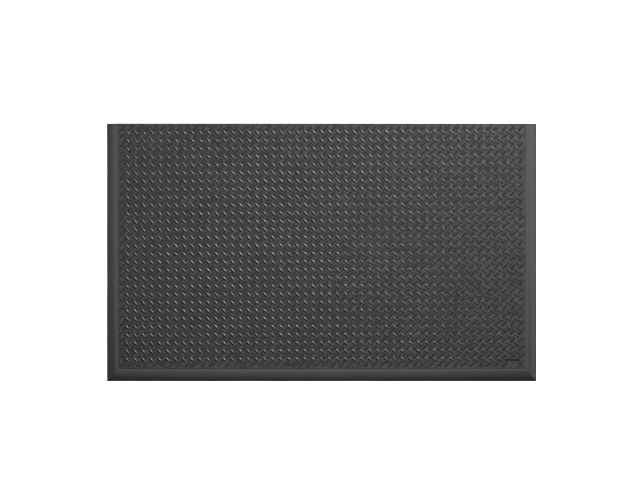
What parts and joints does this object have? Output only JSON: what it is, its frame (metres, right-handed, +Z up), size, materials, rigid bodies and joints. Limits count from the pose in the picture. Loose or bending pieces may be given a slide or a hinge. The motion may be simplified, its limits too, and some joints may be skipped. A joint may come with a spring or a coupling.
{
  "type": "anti fatigue mat",
  "caption": "Rectangular cushioned standing mat with a diamond-tread top, smooth sloping ramps on both sides and the front, and a plain rear edge.",
  "frame": {"origin": "centre of the mat's rectangular underside, on the floor", "axes": "+X along the long side, +Y towards the plain rear edge that stands against the bench, +Z up out of the tread"},
  "size_m": [1.524, 0.914, 0.0143],
  "materials": {
    "tread_rubber": "matte charcoal rubber, semi-gloss on the worn tops of the lugs",
    "ramp_rubber": "smooth semi-gloss charcoal rubber",
    "weld_rubber": "dark satin weld rubber",
    "backing_rubber": "matte black grip backing",
    "core_foam": "closed-cell foam, cut edge",
    "bond_film": "thin satin adhesive film"
  },
  "bodies": {
    "root": {"tread_sheet": "tread_rubber", "tread_bond_film": "bond_film", "cushion_core": "core_foam", "base_bond_film": "bond_film", "base_sheet": "backing_rubber", "left_ramp": "ramp_rubber", "right_ramp": "ramp_rubber", "front_ramp": "ramp_rubber", "left_seam_weld": "weld_rubber", "right_seam_weld": "weld_rubber", "front_seam_weld": "weld_rubber", "left_corner_weld": "weld_rubber", "right_corner_weld": "weld_rubber"}
  },
  "joints": []
}
